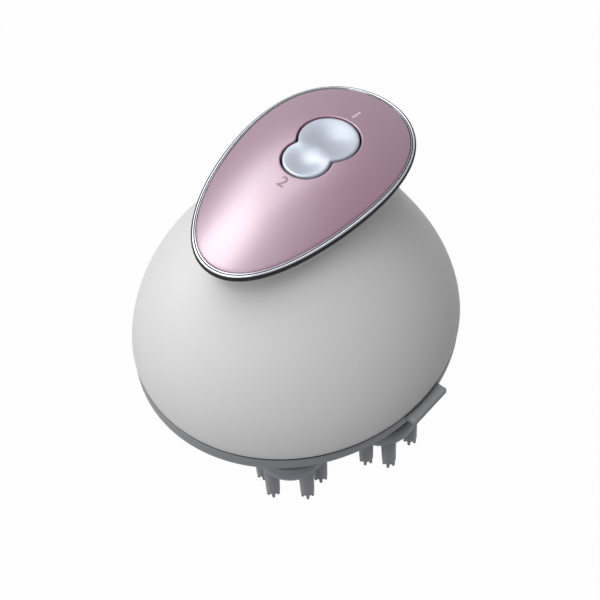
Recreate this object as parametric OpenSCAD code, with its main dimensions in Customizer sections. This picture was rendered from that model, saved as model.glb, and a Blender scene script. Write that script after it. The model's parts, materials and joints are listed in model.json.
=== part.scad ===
// Cordless electric scalp massager: a domed body with a teardrop control panel on a
// flared neck, and six turning brush heads below a grey base ring.
// It stands on its prong tips at z = 0. -Y is the panel's narrow tip, +X the grip tab.

/* [Dome] */
// Width of the dome at its seam
dome_w = 108.2; // [106:0.1:116]
// Length of the dome at its seam
dome_l = 116.2; // [114:0.1:126]
// Height above the seam at which the dome's own curve closes
dome_h = 61.4; // [60:0.2:66]
// Wall of the dome
dome_wall = 2.4; // [1.8:0.1:2.8]
// Inset of the neck below the panel's rim
neck_in = 7.5; // [5:0.5:9]

/* [Panel] */
// Length of the panel's rim
panel_l = 89.6; // [86:0.1:94]
// Width of the panel's rim at its middle
panel_w = 54; // [51:0.1:58]
// Centre of the panel behind the dome's middle
panel_y = 6.3; // [4:0.1:8]
// Height of the rim's middle above the seam
rim_z = 69.65; // [68:0.05:72]
// Drop of the rim at its two ends
rim_drop = 2.5; // [1:0.1:4]
// Rise of the panel above its rim
crown_h = 6.4; // [5.5:0.1:7.5]
// Thickness of the panel
panel_t = 1.8; // [1.5:0.1:2.5]
// Width of the bright trim around the panel
trim_w = 1.8; // [1.4:0.1:2.4]
// Height of the trim's side
trim_h = 1.4; // [1.4:0.1:2.4]

/* [Rocker button] */
// Radius of the rocker's large lobe
lobe_r = 9.85; // [9:0.05:10.5]
// Radius of the rocker's small lobe
small_lobe_r = 7.8; // [7:0.1:8.5]
// Distance between the lobes' centres
lobe_gap = 11.4; // [11:0.1:13]
// Centre of the small lobe behind the dome's middle
lobe_y = 10.2; // [8:0.1:11]
// Gap around the rocker
rocker_gap = 0.6; // [0.6:0.05:0.9]
// How far the rocker stands above the panel
rocker_proud = 0.2; // [0:0.1:1.4]
// Radius of the rocker's pivot pin
pivot_r = 0.75; // [0.6:0.05:0.9]

/* [Base] */
// Height of the grey ring's band
ring_h = 6.15; // [4.5:0.05:7]
// Inset of the ring's sides below the dome's
ring_in = 0.9; // [0.2:0.1:1.5]
// How far the grip tab stands out past the dome
tab_out = 2.6; // [2.5:0.1:6]
// Length of the grip tab
tab_l = 17.4; // [14:0.1:22]
// How far the tab's middle lies behind the dome's
tab_y = 1.4; // [-3:0.1:3]
// Thickness of the grip tab
tab_t = 2.5; // [2:0.1:4.4]
// Drop of the grip tab's top below the seam
tab_drop = 2.4; // [1:0.1:3]
// Depth of the gear tub below the seam
tub_h = 17.15; // [17:0.05:18.5]
// Wall of the gear tub
tub_wall = 2; // [1.6:0.1:2.4]
// Thickness of the brush plate
plate_t = 2.5; // [2:0.1:3]

/* [Brush heads] */
// Radius of a brush head
head_r = 12.6; // [11:0.1:13]
// Radius of its disc's lower edge
foot_r = 11.3; // [9.8:0.1:12]
// Height of a brush head's disc
head_h = 7.5; // [6.5:0.1:9]
// Gap between the brush heads and the brush plate
head_gap = 3.3; // [2.8:0.1:4]
// Length of a prong with its nubs
prong_l = 12.7; // [11:0.1:15]
// Radius of a prong at its root
prong_r = 2.7; // [2.4:0.05:2.9]
// Radius of the circle that the outer prongs stand on
prong_circle = 9.9; // [8.7:0.1:10]
// Half the angle between the two prongs of a pair
prong_pair = 23.5; // [18:0.5:30]
// Length of a nub at a prong's tip
nub_h = 2.2; // [1.4:0.1:3]
// Inset of the brush heads' axes from the dome's side
head_in = 18.1; // [17:0.1:19]
// Angle of the front and back heads from the middle pair
head_angle = 55.5; // [54:0.5:60]

/* [Drive] */
// Tooth module of the brush gears, before it is fitted to whole teeth
brush_m = 1; // [0.98:0.005:1.02]
// Thickness of the brush gears
brush_gear_t = 5; // [4.5:0.1:5.5]
// Tooth module of the reduction's slow stage, before it is fitted to whole teeth
slow_m = 0.8; // [0.78:0.005:0.82]
// Thickness of the slow stage
slow_gear_t = 3.4; // [3:0.1:4]
// Tooth module of the reduction's fast stage
fast_m = 0.6; // [0.58:0.005:0.62]
// Thickness of the fast stage
fast_gear_t = 3; // [2.5:0.1:3.5]
// Radius of a spindle
spindle_r = 2.5; // [2.2:0.05:2.7]
// Radial running clearance of every shaft
run_gap = 0.05; // [0.02:0.005:0.08]
// Radius of the motor's gear case
case_r = 13; // [12:0.1:13.5]
// Height of the motor's gear case
case_h = 12; // [10:0.2:14]
// Radius of the motor
motor_r = 11.5; // [10:0.1:12]
// Height of the motor above its gear case
motor_h = 21; // [18:0.5:23]

/* [Power] */
// Radius of a battery cell
cell_r = 7; // [6.5:0.1:7.1]
// Length of a battery cell
cell_l = 48; // [44:0.5:49]
// Radius of the charging inlet's bore
inlet_r = 1.8; // [1.5:0.05:2.2]
// Depth of the charging inlet's bore
inlet_l = 12; // [10:0.5:13]

/* [Hidden] */

// Curves and small sizes that the whole design shares
$fn = 64;
dome_p = 1.68;       // how late the dome's side turns in
dome_q = 1.575;      // how round its shoulder is
blend_n = 8;         // how tightly the neck meets the dome
egg = 0.157;         // how much wider the panel is behind its middle
pinch = 0.047;       // how much the panel's sides are drawn in
crown_p = 2.2;       // how flat the panel's top is
lip_in = 1.4;        // inset of the neck's lip below the rim
seal_t = 0.8;        // black seal between the trim and the lip
seam_t = 0.4;        // black seal between the dome and the base ring
seam_w = 1.2;        // width of that seal
edge_in = 0.2;       // rounding at the dome's lower edge
edge_h = 1;          // height of that rounding
fit_gap = 0.15;      // gap between pieces that slip into each other
n_side = 72;         // points around a moulded shell
n_up = 18;           // rings up a moulded shell
press_n = 12;        // flats of a press fit on a shaft
seat_in = 0.25;      // how far a gear's seat is cut below its shaft
journal_in = 0.5;    // how far a spindle's upper journal is cut below it

// Teeth that don't follow from a distance
brush_teeth = 20;
slow_pinion_teeth = 18;
fast_pinion_teeth = 18;
tip_share = 0.95;    // height of a tooth above its pitch circle, in modules
root_share = 1.25;   // depth of a tooth below it
middle_r = 1.5;      // radius of the reduction gear's axle
axle_gap = 0.35;     // gap between that axle and the centre gear's tips
tub_gap = 0.5;       // gap between the brush gears' tips and the tub
wheel_gap = 1.6;     // gap between the fast wheel and what stands around it

// Centre distances. The heads follow the dome, and each wheel has the whole teeth that fit
head_circle = dome_w / 2 - head_in;
centre_teeth = round(2 * head_circle / brush_m) - brush_teeth;
brush_mod = 2 * head_circle / (centre_teeth + brush_teeth);
tub_r = head_circle + brush_mod * (brush_teeth / 2 + 1) + tub_gap;
middle_y = brush_mod * (centre_teeth / 2 + tip_share) + middle_r + axle_gap;
slow_wheel_teeth = round(2 * middle_y / slow_m) - slow_pinion_teeth;
slow_mod = 2 * middle_y / (slow_wheel_teeth + slow_pinion_teeth);
spindle_away = norm([head_circle * cos(head_angle), head_circle * sin(head_angle) - middle_y]);
wheel_reach = min(spindle_away - (spindle_r - journal_in), tub_r - middle_y) - wheel_gap;
fast_wheel_teeth = floor(2 * wheel_reach / fast_m) - 2;
motor_y = middle_y - fast_m * (fast_wheel_teeth + fast_pinion_teeth) / 2;
head_angles = [0, head_angle, 180 - head_angle, 180, 180 + head_angle, 360 - head_angle];

// Levels, from the floor up
disc_z = prong_l;
disc_top = disc_z + head_h;
plate_z = disc_top + head_gap;
seam_z = plate_z + tub_h;
plate_top = plate_z + plate_t;
bush_h = 2.4;                                 // bush standing above the brush plate
axial_gap = 0.5;                              // gap between pieces that turn past each other
brush_gear_z = plate_top + bush_h + axial_gap;
slow_gear_z = brush_gear_z + brush_gear_t + axial_gap;
fast_gear_z = slow_gear_z + slow_gear_t + axial_gap;
chassis_t = 2.5;
chassis_z = fast_gear_z + fast_gear_t + axial_gap;
chassis_top = chassis_z + chassis_t;
ring_z = seam_z - ring_h;

// Gear tub
knee_in = 3;                                  // inset of the floor's edge below the tub's side
floor_r = tub_r - knee_in;
floor_t = 2;
floor_w = 9;                                  // width of the floor that carries the plate
plate_r = floor_r - 0.5;
opening_r = floor_r - floor_w;
chassis_in = 3;                               // gap between the chassis and the dome's inside
chassis_r = min(dome_w / 2 - dome_wall - chassis_in, tub_r - 1);
post_r = 3.5;
post_in = 5;                                  // inset of the posts' axes from the floor's edge
post_circle = floor_r - post_in;
post_angle = head_angle / 2;
post_angles = [post_angle, 180 - post_angle, 180 + post_angle, 360 - post_angle];
screw_r = 1.4;
screw_hole_r = 1.6;
nut_t = 2.4;
small_screw_r = 1;

// The whole object is centred between the tab's face and the dome's other side
x_mid = tab_out / 2;

// ---------- shared shapes ----------

// A point of the teardrop outline at angle a, drawn in by d; from the panel's centre
function teardrop(a, d = 0) =
    let (x = panel_w / 2 * cos(a) * (1 + egg * sin(a) - pinch * cos(2 * a)) / (1 - pinch),
         y = panel_l / 2 * sin(a),
         r = norm([x, y]))
    [x, y] * (1 - d / r);

// Height of the rim's arc above the seam, at y from the panel's centre
function rim_arc(y) = rim_z - rim_drop * pow(2 * y / panel_l, 2);

// Height of the neck's lip at angle a, on a surface t inside the outer one
function lip_top(a, t = 0) = rim_arc(teardrop(a, t + lip_in)[1]) - trim_h - seal_t;

// A point of the dome at angle a and height h above the seam, drawn in by t. The dome's
// oval section and the neck's teardrop section are joined by a soft maximum of their radii.
function dome_point(a, h, t) =
    let (k = pow(max(0, 1 - pow(h / (dome_h - t), dome_p)), 1 / dome_q),
         e = t > 0 ? 0 : edge_in * pow(max(0, 1 - h / edge_h), 2),
         oval = [(dome_w / 2 - t - e) * k * cos(a), (dome_l / 2 - t - e) * k * sin(a) - panel_y],
         v = min(1, h / lip_top(a, t)),
         neck = teardrop(a, t + lip_in + (neck_in - lip_in) * (1 - pow(v, 8))),
         ro = norm(oval),
         rn = norm(neck),
         w = pow(rn, blend_n) / (pow(ro, blend_n) + pow(rn, blend_n)),
         mix = oval * (1 - w) + neck * w,
         s = pow(pow(ro, blend_n) + pow(rn, blend_n), 1 / blend_n) / norm(mix))
    [mix[0] * s, mix[1] * s + panel_y];

// A ring of the dome's surface at share v of the lip's height
function dome_ring(v, t) =
    [for (j = [0 : n_side - 1])
        let (a = 360 * j / n_side, h = v * lip_top(a, t), p = dome_point(a, h, t))
        [p[0], p[1], seam_z + h]];

// The dome's inner outline at one height, for what stands inside it
function inner_outline(h, t) =
    [for (j = [0 : n_side - 1]) dome_point(360 * j / n_side, h, dome_wall + t)];

// A ring of the panel's crowned surface at share s of the rim, lowered by dz and drawn in by d
function panel_ring(s, dz, d = 0) =
    [for (j = [0 : n_side - 1])
        let (a = 360 * j / n_side, p = teardrop(a, d) * s, r = norm(p) / norm(teardrop(a)))
        [p[0], p[1] + panel_y, seam_z + rim_arc(p[1]) + crown_h * (1 - pow(r, crown_p)) - dz]];

// A ring that follows the rim, drawn in by d and raised by z
function rim_ring(d, z) =
    [for (j = [0 : n_side - 1])
        let (a = 360 * j / n_side, p = teardrop(a, d))
        [p[0], p[1] + panel_y, seam_z + rim_arc(p[1]) + z]];

// Height of the panel's top at y from the dome's middle
function panel_top(y) =
    let (v = y - panel_y)
    seam_z + rim_arc(v) + crown_h * (1 - pow(abs(2 * v / panel_l), crown_p));

// A closed tube through rings that all have as many points; the last ring meets the first
module skin(rings) {
    n = len(rings);
    m = len(rings[0]);
    faces = [for (i = [0 : n - 1], j = [0 : m - 1])
        let (a = i * m + j, b = i * m + (j + 1) % m,
             c = ((i + 1) % n) * m + (j + 1) % m, d = ((i + 1) % n) * m + j)
        each [[a, c, b], [a, d, c]]];
    polyhedron(points = [for (r = rings, p = r) p], faces = faces);
}

// A closed shape through rings, with a point at each end
module capped(first, rings, last) {
    n = len(rings);
    m = len(rings[0]);
    sides = [for (i = [0 : n - 2], j = [0 : m - 1])
        let (a = 1 + i * m + j, b = 1 + i * m + (j + 1) % m, c = b + m, d = a + m)
        each [[a, b, c], [a, c, d]]];
    start = [for (j = [0 : m - 1]) [0, 1 + (j + 1) % m, 1 + j]];
    end_at = 1 + (n - 1) * m;
    end = [for (j = [0 : m - 1]) [end_at + m, end_at + j, end_at + (j + 1) % m]];
    polyhedron(points = concat([first], [for (r = rings, p = r) p], [last]),
               faces = concat(start, sides, end));
}

module placed() { translate([-x_mid, 0, 0]) children(); }
module oval(rx, ry, h) { scale([1, ry / rx, 1]) cylinder(r = rx, h = h, $fn = 96); }
module ring(ro, ri, h) {
    difference() {
        cylinder(r = ro, h = h);
        translate([0, 0, -1]) cylinder(r = ri, h = h + 2);
    }
}
module at_head(i) {
    translate([head_circle * cos(head_angles[i]), head_circle * sin(head_angles[i]), 0]) children();
}
module at_posts() {
    for (a = post_angles) translate([post_circle * cos(a), post_circle * sin(a), 0]) children();
}

// Involute gear outline. Half a tooth's angle at radius r is its share at the pitch circle
// less the involute's own turning, and slack takes a little off each flank.
function involute(r, rb) = let (t = acos(min(1, rb / r))) tan(t) * 180 / PI - t;
function tooth_half(r, rp, rb, teeth, slack) =
    90 / teeth + involute(rp, rb) - involute(max(r, rb), rb) - slack / rp * 180 / PI;
function gear_outline(teeth, m, slack = 0.06) =
    let (rp = teeth * m / 2, rb = rp * cos(20), ra = rp + tip_share * m, rf = rp - root_share * m,
         radii = [rf, for (i = [0 : 5]) max(rb, rf) + (ra - max(rb, rf)) * i / 5],
         n = len(radii))
    [for (k = [0 : teeth - 1]) each concat(
        [for (i = [0 : n - 1])
            let (g = 360 * k / teeth - tooth_half(radii[i], rp, rb, teeth, slack * m))
            radii[i] * [cos(g), sin(g)]],
        [for (i = [n - 1 : -1 : 0])
            let (g = 360 * k / teeth + tooth_half(radii[i], rp, rb, teeth, slack * m))
            radii[i] * [cos(g), sin(g)]])];
module gear(teeth, m, t, bore) {
    linear_extrude(t) difference() {
        polygon(gear_outline(teeth, m));
        circle(r = bore, $fn = press_n);
    }
}
// Turn that puts a gear at bearing b in mesh with a gear that has a tooth at angle 0
function mesh_turn(b, driver, driven) = b * (1 + driver / driven) + 180 + 180 / driven;

module screw(r, length, head_r, head_h) {
    cylinder(r = r, h = length, $fn = 24);
    translate([0, 0, -head_h]) difference() {
        cylinder(r = head_r, h = head_h, $fn = 32);
        translate([0, 0, -1]) cylinder(r = head_r * 0.5, h = 1 + head_h * 0.6, $fn = 6);
    }
}

// ---------- shells ----------

inlet_z = chassis_top + 4.8;
inlet_nose_r = 4;
inlet_h = inlet_z - seam_z;
inlet_y = dome_point(90, inlet_h + inlet_nose_r, 0)[1];
inlet_body_y = dome_point(90, inlet_h + inlet_nose_r + 0.6, dome_wall)[1] - 0.4;

module dome() {
    color([0.86, 0.87, 0.87]) placed() difference() {
        skin(concat([for (i = [0 : n_up]) dome_ring(pow(i / n_up, 0.9), 0)],
                    [for (i = [n_up : -2 : 0]) dome_ring(pow(i / n_up, 0.9), dome_wall)]));
        translate([0, inlet_body_y - 3, inlet_z]) rotate([-90, 0, 0])
            cylinder(r = inlet_nose_r + fit_gap, h = dome_l);
    }
}

module seam_seal() {
    rx = dome_w / 2 - ring_in - 0.3;
    ry = dome_l / 2 - edge_in - 0.3;
    color([0.08, 0.08, 0.09]) placed() translate([0, 0, seam_z - seam_t]) difference() {
        oval(rx, ry, seam_t);
        translate([0, 0, -1]) oval(rx - seam_w, ry - seam_w, seam_t + 2);
    }
}

collar_in = dome_wall + fit_gap + 0.3;
collar_h = 2.4;
collar_t = 1.6;
tab_root = 4;
module base_ring() {
    rx = dome_w / 2 - collar_in;
    ry = dome_l / 2 - collar_in;
    side = dome_w / 2 - ring_in;
    outer_r = tub_r + tub_wall;
    knee_z = plate_top + floor_t + 0.6;
    color([0.50, 0.52, 0.56]) placed() difference() {
        union() {
            // band that shows under the dome, and the collar that the dome snaps over
            difference() {
                union() {
                    translate([0, 0, ring_z]) oval(side, dome_l / 2, ring_h - seam_t);
                    translate([0, 0, ring_z]) oval(rx, ry, ring_h + collar_h);
                }
                translate([0, 0, seam_z - seam_t]) oval(rx - collar_t, ry - collar_t, ring_h);
                translate([0, 0, ring_z - 1]) cylinder(r = tub_r, h = 2 * ring_h);
            }
            // gear tub
            rotate_extrude($fn = 96) polygon([
                [tub_r, ring_z + 0.5], [outer_r, ring_z + 0.5], [outer_r, knee_z],
                [floor_r, plate_top], [opening_r, plate_top], [opening_r, plate_top + floor_t],
                [tub_r, plate_top + floor_t]]);
            // screw posts up to the chassis
            at_posts() translate([0, 0, plate_top + floor_t - 0.5])
                cylinder(r = post_r, h = chassis_z - plate_top - floor_t + 0.5);
            // grip tab
            translate([side - tab_root, tab_y - tab_l / 2, seam_z - tab_drop - tab_t])
                cube([tab_root + ring_in + tab_out, tab_l, tab_t]);
        }
        at_posts() translate([0, 0, plate_z]) cylinder(r = screw_hole_r, h = chassis_z);
        for (i = [0 : 5]) at_head(i) translate([0, 0, plate_z]) cylinder(r = boss_r + 0.3, h = 6.2);
        for (s = [-1, 1]) translate([0, s * post_circle, plate_z]) cylinder(r = small_screw_r, h = 6);
    }
}

bush_r = spindle_r + 1.5;
boss_r = bush_r + 1.8;
top_bush_r = bush_r - 0.7;
seal_h = 1.2;
stub_r = 2.5;
module brush_plate() {
    color([0.42, 0.44, 0.48]) placed() difference() {
        union() {
            translate([0, 0, plate_z]) cylinder(r = plate_r, h = plate_t, $fn = 96);
            for (i = [0 : 5]) at_head(i) translate([0, 0, plate_top - 0.2])
                cylinder(r = boss_r, h = bush_h - 0.4);
            translate([0, 0, plate_top - 0.2]) cylinder(r = stub_r + 3, h = bush_h + 0.2);
            translate([0, middle_y, plate_top - 0.2])
                cylinder(r = middle_r + 2, h = bush_h + 0.2);
        }
        for (i = [0 : 5]) at_head(i) translate([0, 0, plate_z - 1]) cylinder(r = bush_r, h = 12);
        translate([0, 0, plate_z + 0.8]) cylinder(r = stub_r, h = 12);
        translate([0, middle_y, plate_top]) cylinder(r = middle_r, h = 20);
        at_posts() translate([0, 0, plate_z - 1]) cylinder(r = screw_hole_r, h = 12);
        for (s = [-1, 1]) translate([0, s * post_circle, plate_z - 1])
            cylinder(r = small_screw_r + 0.2, h = 12);
    }
}

// The tapping motor lies beside the gear motor, clear of the screw post's nut
nut_r = 3.1;
clip_l = 10;
tap_in = 8;
tap_x = tap_in - post_circle * cos(post_angle);
clip_y = post_circle * sin(post_angle) - nut_r - 1.2 - clip_l;
tap_y = clip_y - 1.1;
tap_r = 5.5;
tap_l = 19;
tap_z = chassis_top + tap_r + 1;
motor_screw_circle = case_r - 3;
shaft_r = 1.5;
module chassis() {
    color([0.82, 0.83, 0.84]) placed() difference() {
        translate([0, 0, chassis_z]) cylinder(r = chassis_r, h = chassis_t, $fn = 96);
        for (i = [0 : 5]) at_head(i) translate([0, 0, chassis_z - 1]) cylinder(r = top_bush_r, h = 6);
        translate([0, middle_y, chassis_z - 1]) cylinder(r = middle_r, h = 6);
        translate([0, motor_y, chassis_z - 1]) cylinder(r = shaft_r + 2, h = 6);
        at_posts() translate([0, 0, chassis_z - 1]) cylinder(r = screw_hole_r, h = 6);
        for (s = [-1, 1]) translate([s * motor_screw_circle, motor_y, chassis_z - 1])
            cylinder(r = small_screw_r + 0.2, h = 6);
        for (s = [-1, 1]) translate([s * tray_screw_x, tray_y, chassis_z - 1])
            cylinder(r = small_screw_r, h = 6);
    }
}

// ---------- control panel ----------

rocker_y = lobe_y + lobe_gap;                       // centre of the large lobe
waist_y = rocker_y - (lobe_gap * lobe_gap + lobe_r * lobe_r - small_lobe_r * small_lobe_r)
          / (2 * lobe_gap);
rocker_top = panel_top(waist_y) + rocker_proud;
rocker_t = 3.6;
pivot_z = rocker_top - rocker_t - 1.6;
frame_t = 2;
frame_h = rim_z - rim_drop - trim_h - seal_t - 3.4;
frame_z = seam_z + frame_h;
frame_top = frame_z + frame_t;

module figure_eight(grow, h) {
    translate([0, rocker_y, 0]) cylinder(r = lobe_r + grow, h = h);
    translate([0, lobe_y, 0]) cylinder(r = small_lobe_r + grow, h = h);
}

module top_panel() {
    edge = trim_w + 0.1;
    s_list = [for (i = [1 : 8]) i / 8];
    color([0.78, 0.62, 0.68]) placed() difference() {
        capped([0, panel_y, seam_z + rim_arc(0) + crown_h],
               concat([for (s = s_list) panel_ring(s, 0, edge)],
                      [for (i = [7 : -1 : 0]) panel_ring(s_list[i], panel_t, edge)]),
               [0, panel_y, seam_z + rim_arc(0) + crown_h - panel_t]);
        translate([0, 0, seam_z + rim_z - 2]) figure_eight(rocker_gap, 20);
    }
}

module trim_ring() {
    ledge = panel_t + 0.1;
    color([0.72, 0.73, 0.75]) placed() skin([
        panel_ring(1, 0, 0), panel_ring(1, -0.2, trim_w * 0.3), panel_ring(1, -0.15, trim_w),
        panel_ring(1, ledge, trim_w), panel_ring(1, ledge, trim_w + 1.6),
        rim_ring(trim_w + 1.6, -trim_h), rim_ring(0.7, -trim_h), rim_ring(0.1, -trim_h * 0.5)]);
}

module panel_seal() {
    color([0.06, 0.06, 0.07]) placed() skin([
        rim_ring(lip_in - 0.2, -trim_h - 0.05), rim_ring(lip_in + dome_wall - 0.3, -trim_h - 0.05),
        rim_ring(lip_in + dome_wall - 0.3, 0.05 - trim_h - seal_t),
        rim_ring(lip_in - 0.2, 0.05 - trim_h - seal_t)]);
}

ear_x = 3.3;
ear_t = 2;
ear_h = 1.3;
module top_frame() {
    color([0.2, 0.2, 0.22]) placed() difference() {
        union() {
            translate([0, 0, frame_z]) linear_extrude(frame_t) polygon(inner_outline(frame_h, fit_gap));
            for (s = [-1, 1])
                translate([s * (ear_x + ear_t / 2) - ear_t / 2, waist_y - 2.2, frame_top - 0.2])
                cube([ear_t, 4.4, pivot_z + ear_h - frame_top + 0.2]);
        }
        translate([-10, waist_y, pivot_z]) rotate([0, 90, 0]) cylinder(r = pivot_r, h = 20, $fn = 32);
        translate([0, panel_y - 22, frame_z - 1]) cylinder(r = 5, h = 5);
        for (s = [-1, 1]) translate([s * board_screw_x, waist_y, frame_z - 1])
            cylinder(r = small_screw_r, h = 5);
    }
}

switch_gap = 0.5;
board_t = 1.2;
board_w = 21;
board_l = 26;
board_screw_x = board_w / 2 - 2;
board_top = frame_top + board_t;
switch_ys = [lobe_y - 1.5, rocker_y + 1];
switch_h = 3.4;
plunger_h = 1.2;
foot_z = board_top + switch_h + plunger_h + switch_gap;

// The rocker's top follows the panel: arcs of these radii along and across it
bend_l = 122;
bend_w = 69;
dish_r = 26;
small_dish_r = 18;
function rocker_face(y) = panel_top(panel_y) + rocker_proud - (y - panel_y) * (y - panel_y) / (2 * bend_l);
module rocker_envelope() {
    arc = [for (u = [-12 : 2 : 12]) [bend_l - bend_w * (1 - cos(u)), bend_w * sin(u)]];
    translate([0, panel_y, rocker_face(panel_y) - bend_l]) rotate([0, 90, 0])
        rotate_extrude($fn = 180) polygon(concat(arc,
            [[bend_l - 20, bend_w * sin(12)], [bend_l - 20, -bend_w * sin(12)]]));
}
module dish(y, r, depth) {
    lean = asin((y - panel_y) / bend_l);
    translate([0, y + (r - depth) * sin(lean), rocker_face(y) + (r - depth) * cos(lean)])
        sphere(r = r, $fn = 96);
}
module rocker() {
    color([0.76, 0.79, 0.85]) placed() difference() {
        union() {
            intersection() {
                translate([0, 0, rocker_top - rocker_t]) figure_eight(0, rocker_t + 3);
                rocker_envelope();
            }
            translate([-ear_x + 0.3, waist_y - 2, pivot_z - 1.8])
                cube([2 * ear_x - 0.6, 4, rocker_top - rocker_t - pivot_z + 2]);
            for (y = switch_ys) translate([0, y, foot_z])
                cylinder(r = 1.6, h = rocker_top - rocker_t - foot_z + 0.2, $fn = 32);
        }
        translate([-10, waist_y, pivot_z]) rotate([0, 90, 0])
            cylinder(r = pivot_r + run_gap, h = 20, $fn = 32);
        dish(rocker_y + 0.2, dish_r, 1.1);
        dish(lobe_y - 0.2, small_dish_r, 1.0);
    }
}

module rocker_pin() {
    l = 2 * (ear_x + ear_t);
    color([0.7, 0.7, 0.72]) placed() translate([-l / 2, waist_y, pivot_z]) rotate([0, 90, 0])
        cylinder(r = pivot_r, h = l, $fn = 32);
}

module button_board() {
    color([0.1, 0.35, 0.2]) placed() difference() {
        translate([-board_w / 2, waist_y - board_l / 2, frame_top]) cube([board_w, board_l, board_t]);
        for (s = [-1, 1])
            translate([s * (ear_x + ear_t / 2) - ear_t / 2 - 0.3, waist_y - 2.6, frame_top - 1])
                cube([ear_t + 0.6, 5.2, 4]);
        for (s = [-1, 1]) translate([s * board_screw_x, waist_y, frame_top - 1])
            cylinder(r = small_screw_r + 0.2, h = 4);
    }
}

module button_switches() {
    color([0.15, 0.15, 0.16]) placed() for (y = switch_ys) translate([0, y, board_top]) {
        translate([-3, -3, 0]) cube([6, 6, switch_h]);
        translate([0, 0, switch_h]) cylinder(r = 1.7, h = plunger_h, $fn = 32);
    }
}

module board_screws() {
    color([0.75, 0.75, 0.77]) placed() for (s = [-1, 1])
        translate([s * board_screw_x, waist_y, board_top]) rotate([180, 0, 0])
            screw(small_screw_r, board_t + frame_t - 0.3, 1.8, 1);
}

// ---------- gear train ----------

hub_gap = 0.3;
centre_bore = stub_r + 2;
middle_bore = middle_r + 1.3;
clip_t = 0.5;
low_clip_t = 0.4;
// Holes through the centre gear's web, between its hub and the slow wheel's teeth
hub_w = 4;
web_in = centre_bore + hub_w + 1.5;
web_out = slow_mod * (slow_wheel_teeth / 2 - root_share) - 2.6;
module centre_axle() {
    color([0.7, 0.7, 0.72]) placed() translate([0, 0, plate_z + 0.8])
        cylinder(r = stub_r, h = slow_gear_z + slow_gear_t - plate_z - 0.8);
}
module centre_gear() {
    color([0.93, 0.92, 0.88]) placed() difference() {
        union() {
            translate([0, 0, brush_gear_z]) linear_extrude(brush_gear_t)
                polygon(gear_outline(centre_teeth, brush_mod));
            translate([0, 0, brush_gear_z + brush_gear_t]) linear_extrude(axial_gap)
                circle(r = centre_bore + hub_w, $fn = press_n);
            translate([0, 0, slow_gear_z]) linear_extrude(slow_gear_t)
                polygon(gear_outline(slow_wheel_teeth, slow_mod));
        }
        translate([0, 0, brush_gear_z - 1]) cylinder(r = centre_bore, h = 20, $fn = press_n);
        for (a = [30 : 60 : 330]) rotate(a) translate([(web_in + web_out) / 2, 0, brush_gear_z - 1])
            cylinder(r = (web_out - web_in) / 2, h = 20, $fn = press_n);
    }
}
module centre_hub() {
    color([0.8, 0.65, 0.35]) placed() difference() {
        translate([0, 0, brush_gear_z - axial_gap + 0.1])
            cylinder(r = centre_bore, $fn = press_n,
                     h = slow_gear_z + slow_gear_t - brush_gear_z + axial_gap - 1);
        translate([0, 0, plate_z]) cylinder(r = stub_r + run_gap, h = 40);
    }
}
module axle_clip() {
    color([0.3, 0.3, 0.32]) placed() {
        translate([0, 0, slow_gear_z + slow_gear_t - 0.8]) ring(stub_r + 1.2, stub_r, clip_t);
        translate([0, middle_y, slow_gear_z - low_clip_t]) ring(middle_r + 1.1, middle_r, low_clip_t);
    }
}
module middle_axle() {
    color([0.7, 0.7, 0.72]) placed() translate([0, middle_y, plate_top])
        cylinder(r = middle_r, h = chassis_top - plate_top);
}
module middle_gear() {
    turn = mesh_turn(90, slow_wheel_teeth, slow_pinion_teeth);
    color([0.93, 0.92, 0.88]) placed() translate([0, middle_y, 0]) rotate(turn) difference() {
        union() {
            translate([0, 0, slow_gear_z]) linear_extrude(slow_gear_t + axial_gap)
                polygon(gear_outline(slow_pinion_teeth, slow_mod));
            translate([0, 0, fast_gear_z]) linear_extrude(fast_gear_t)
                polygon(gear_outline(fast_wheel_teeth, fast_m));
        }
        translate([0, 0, slow_gear_z - 1]) cylinder(r = middle_bore, h = 20, $fn = press_n);
    }
}
module middle_hub() {
    turn = mesh_turn(90, slow_wheel_teeth, slow_pinion_teeth);
    color([0.8, 0.65, 0.35]) placed() translate([0, middle_y, slow_gear_z + 0.05]) difference() {
        rotate(turn) cylinder(r = middle_bore, h = chassis_z - slow_gear_z - 0.25, $fn = press_n);
        translate([0, 0, -1]) cylinder(r = middle_r + run_gap, h = 20);
    }
}

// ---------- motor ----------

module gear_motor_case() {
    color([0.62, 0.63, 0.66]) placed() translate([0, motor_y, chassis_top]) difference() {
        cylinder(r = case_r, h = case_h);
        translate([0, 0, -1]) cylinder(r = shaft_r + run_gap, h = case_h - 1);
        for (s = [-1, 1]) translate([s * motor_screw_circle, 0, -1]) cylinder(r = small_screw_r, h = 6);
    }
}
module motor_can() {
    color([0.75, 0.76, 0.78]) placed() translate([0, motor_y, chassis_top + case_h]) {
        cylinder(r = motor_r, h = motor_h - 2);
        translate([0, 0, motor_h - 2]) cylinder(r = motor_r * 0.45, h = 2);
    }
}
module motor_shaft() {
    color([0.7, 0.7, 0.72]) placed() translate([0, motor_y, 0]) {
        translate([0, 0, fast_gear_z + 0.2]) rotate(motor_turn())
            cylinder(r = shaft_r - seat_in, h = fast_gear_t, $fn = press_n);
        translate([0, 0, fast_gear_z + fast_gear_t + 0.1])
            cylinder(r = shaft_r, h = chassis_top - fast_gear_z - fast_gear_t + case_h - 3);
    }
}
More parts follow.
